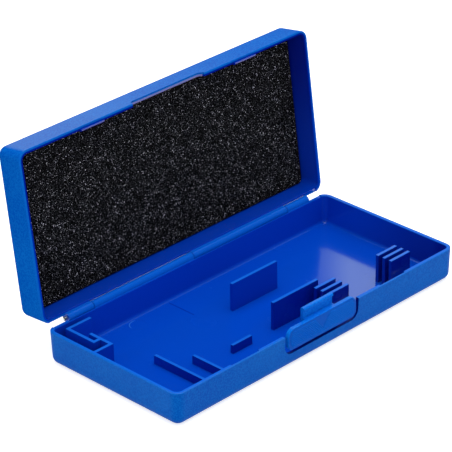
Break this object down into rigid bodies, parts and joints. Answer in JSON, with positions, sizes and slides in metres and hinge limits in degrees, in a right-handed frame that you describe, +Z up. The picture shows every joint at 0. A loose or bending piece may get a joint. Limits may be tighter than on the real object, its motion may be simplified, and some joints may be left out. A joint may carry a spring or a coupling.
{
  "type": "tool case",
  "caption": "Shallow hinged plastic tool case: ribbed tray, foam-lined lid on a steel pin, and a snap latch with a ridged finger pad.",
  "frame": {"origin": "middle of the tray's flat underside", "axes": "+X along the length, to the right seen from the latch; +Y from the latch towards the hinge; +Z up. The row rests with the lid open."},
  "size_m": [0.2, 0.1211, 0.1094],
  "materials": {
    "blue_plastic": "satin, fine grain",
    "latch_plastic": "satin, fine grain",
    "foam": "open cell foam, charcoal",
    "film": "adhesive film",
    "steel": "bright drawn"
  },
  "bodies": {
    "tray": {"base_tray": "blue_plastic", "hinge_pin": "steel"},
    "lid": {"lid_shell": "blue_plastic", "foam_pad": "foam", "foam_adhesive_film": "film"},
    "latch": {"snap_latch": "latch_plastic"}
  },
  "joints": [
    {"name": "lid_hinge", "type": "hinge", "parent": "tray", "child": "lid", "pos_m": [0, 0.0466, 0.0183], "axis": [1, 0, 0], "range_deg": [0, 97.2]},
    {"name": "latch_pivot", "type": "hinge", "parent": "tray", "child": "latch", "pos_m": [0, -0.04102, 0.011], "axis": [-1, 0, 0], "range_deg": [0, 5], "stiffness_Nm_per_rad": 0.05}
  ]
}
